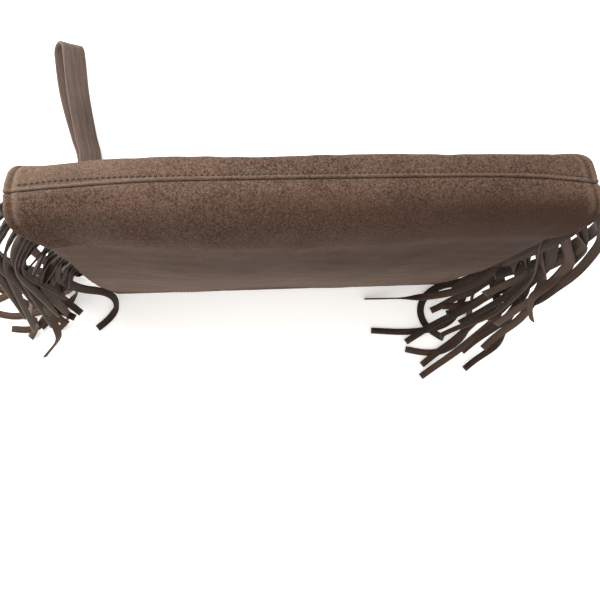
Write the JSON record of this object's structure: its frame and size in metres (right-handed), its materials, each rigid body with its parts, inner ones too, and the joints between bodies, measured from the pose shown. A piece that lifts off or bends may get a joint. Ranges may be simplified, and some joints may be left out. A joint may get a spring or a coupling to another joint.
{
  "type": "fringed suede bag",
  "caption": "Flat zip-top suede clutch bag with a long strand fringe in each side seam and a suede wrist strap, standing base up on its mouth.",
  "frame": {"origin": "middle of the underside of the box round the whole part, strands and strap included; the bag's own centre is 40 mm towards +X and 40 mm towards -Y of it", "axes": "+X along the bag's width, away from the wrist strap; +Y from the front panel to the back panel; +Z from the rim of the mouth up to the base"},
  "size_m": [0.402, 0.312, 0.264],
  "materials": {
    "suede": "brushed nap",
    "fringe_suede": "brushed nap",
    "strap_suede": "brushed nap",
    "lining": "plain woven",
    "zip_tape": "herringbone woven",
    "zip_metal": "antiqued"
  },
  "bodies": {
    "bag": {"front_panel": "suede", "back_panel": "suede", "lining_front": "lining", "lining_back": "lining", "fringe_left": "fringe_suede", "fringe_right": "fringe_suede", "wrist_strap": "strap_suede", "zip_tape_front": "zip_tape", "zip_tape_back": "zip_tape", "zip_teeth_front": "zip_metal", "zip_teeth_back": "zip_metal", "zip_top_stop_front": "zip_metal", "zip_top_stop_back": "zip_metal", "zip_bottom_stop": "zip_metal"},
    "zip_slider": {"zip_slider": "zip_metal"},
    "zip_pull": {"zip_pull": "zip_metal"}
  },
  "joints": [
    {"name": "zip_slide", "type": "slide", "parent": "bag", "child": "zip_slider", "axis": [-1, 0, 0], "range_m": [0, 0.226]},
    {"name": "pull_hinge", "type": "hinge", "parent": "zip_slider", "child": "zip_pull", "pos_m": [0.151, -0.04, 0.0066], "axis": [0, 1, 0], "range_deg": [-150, 16]}
  ]
}
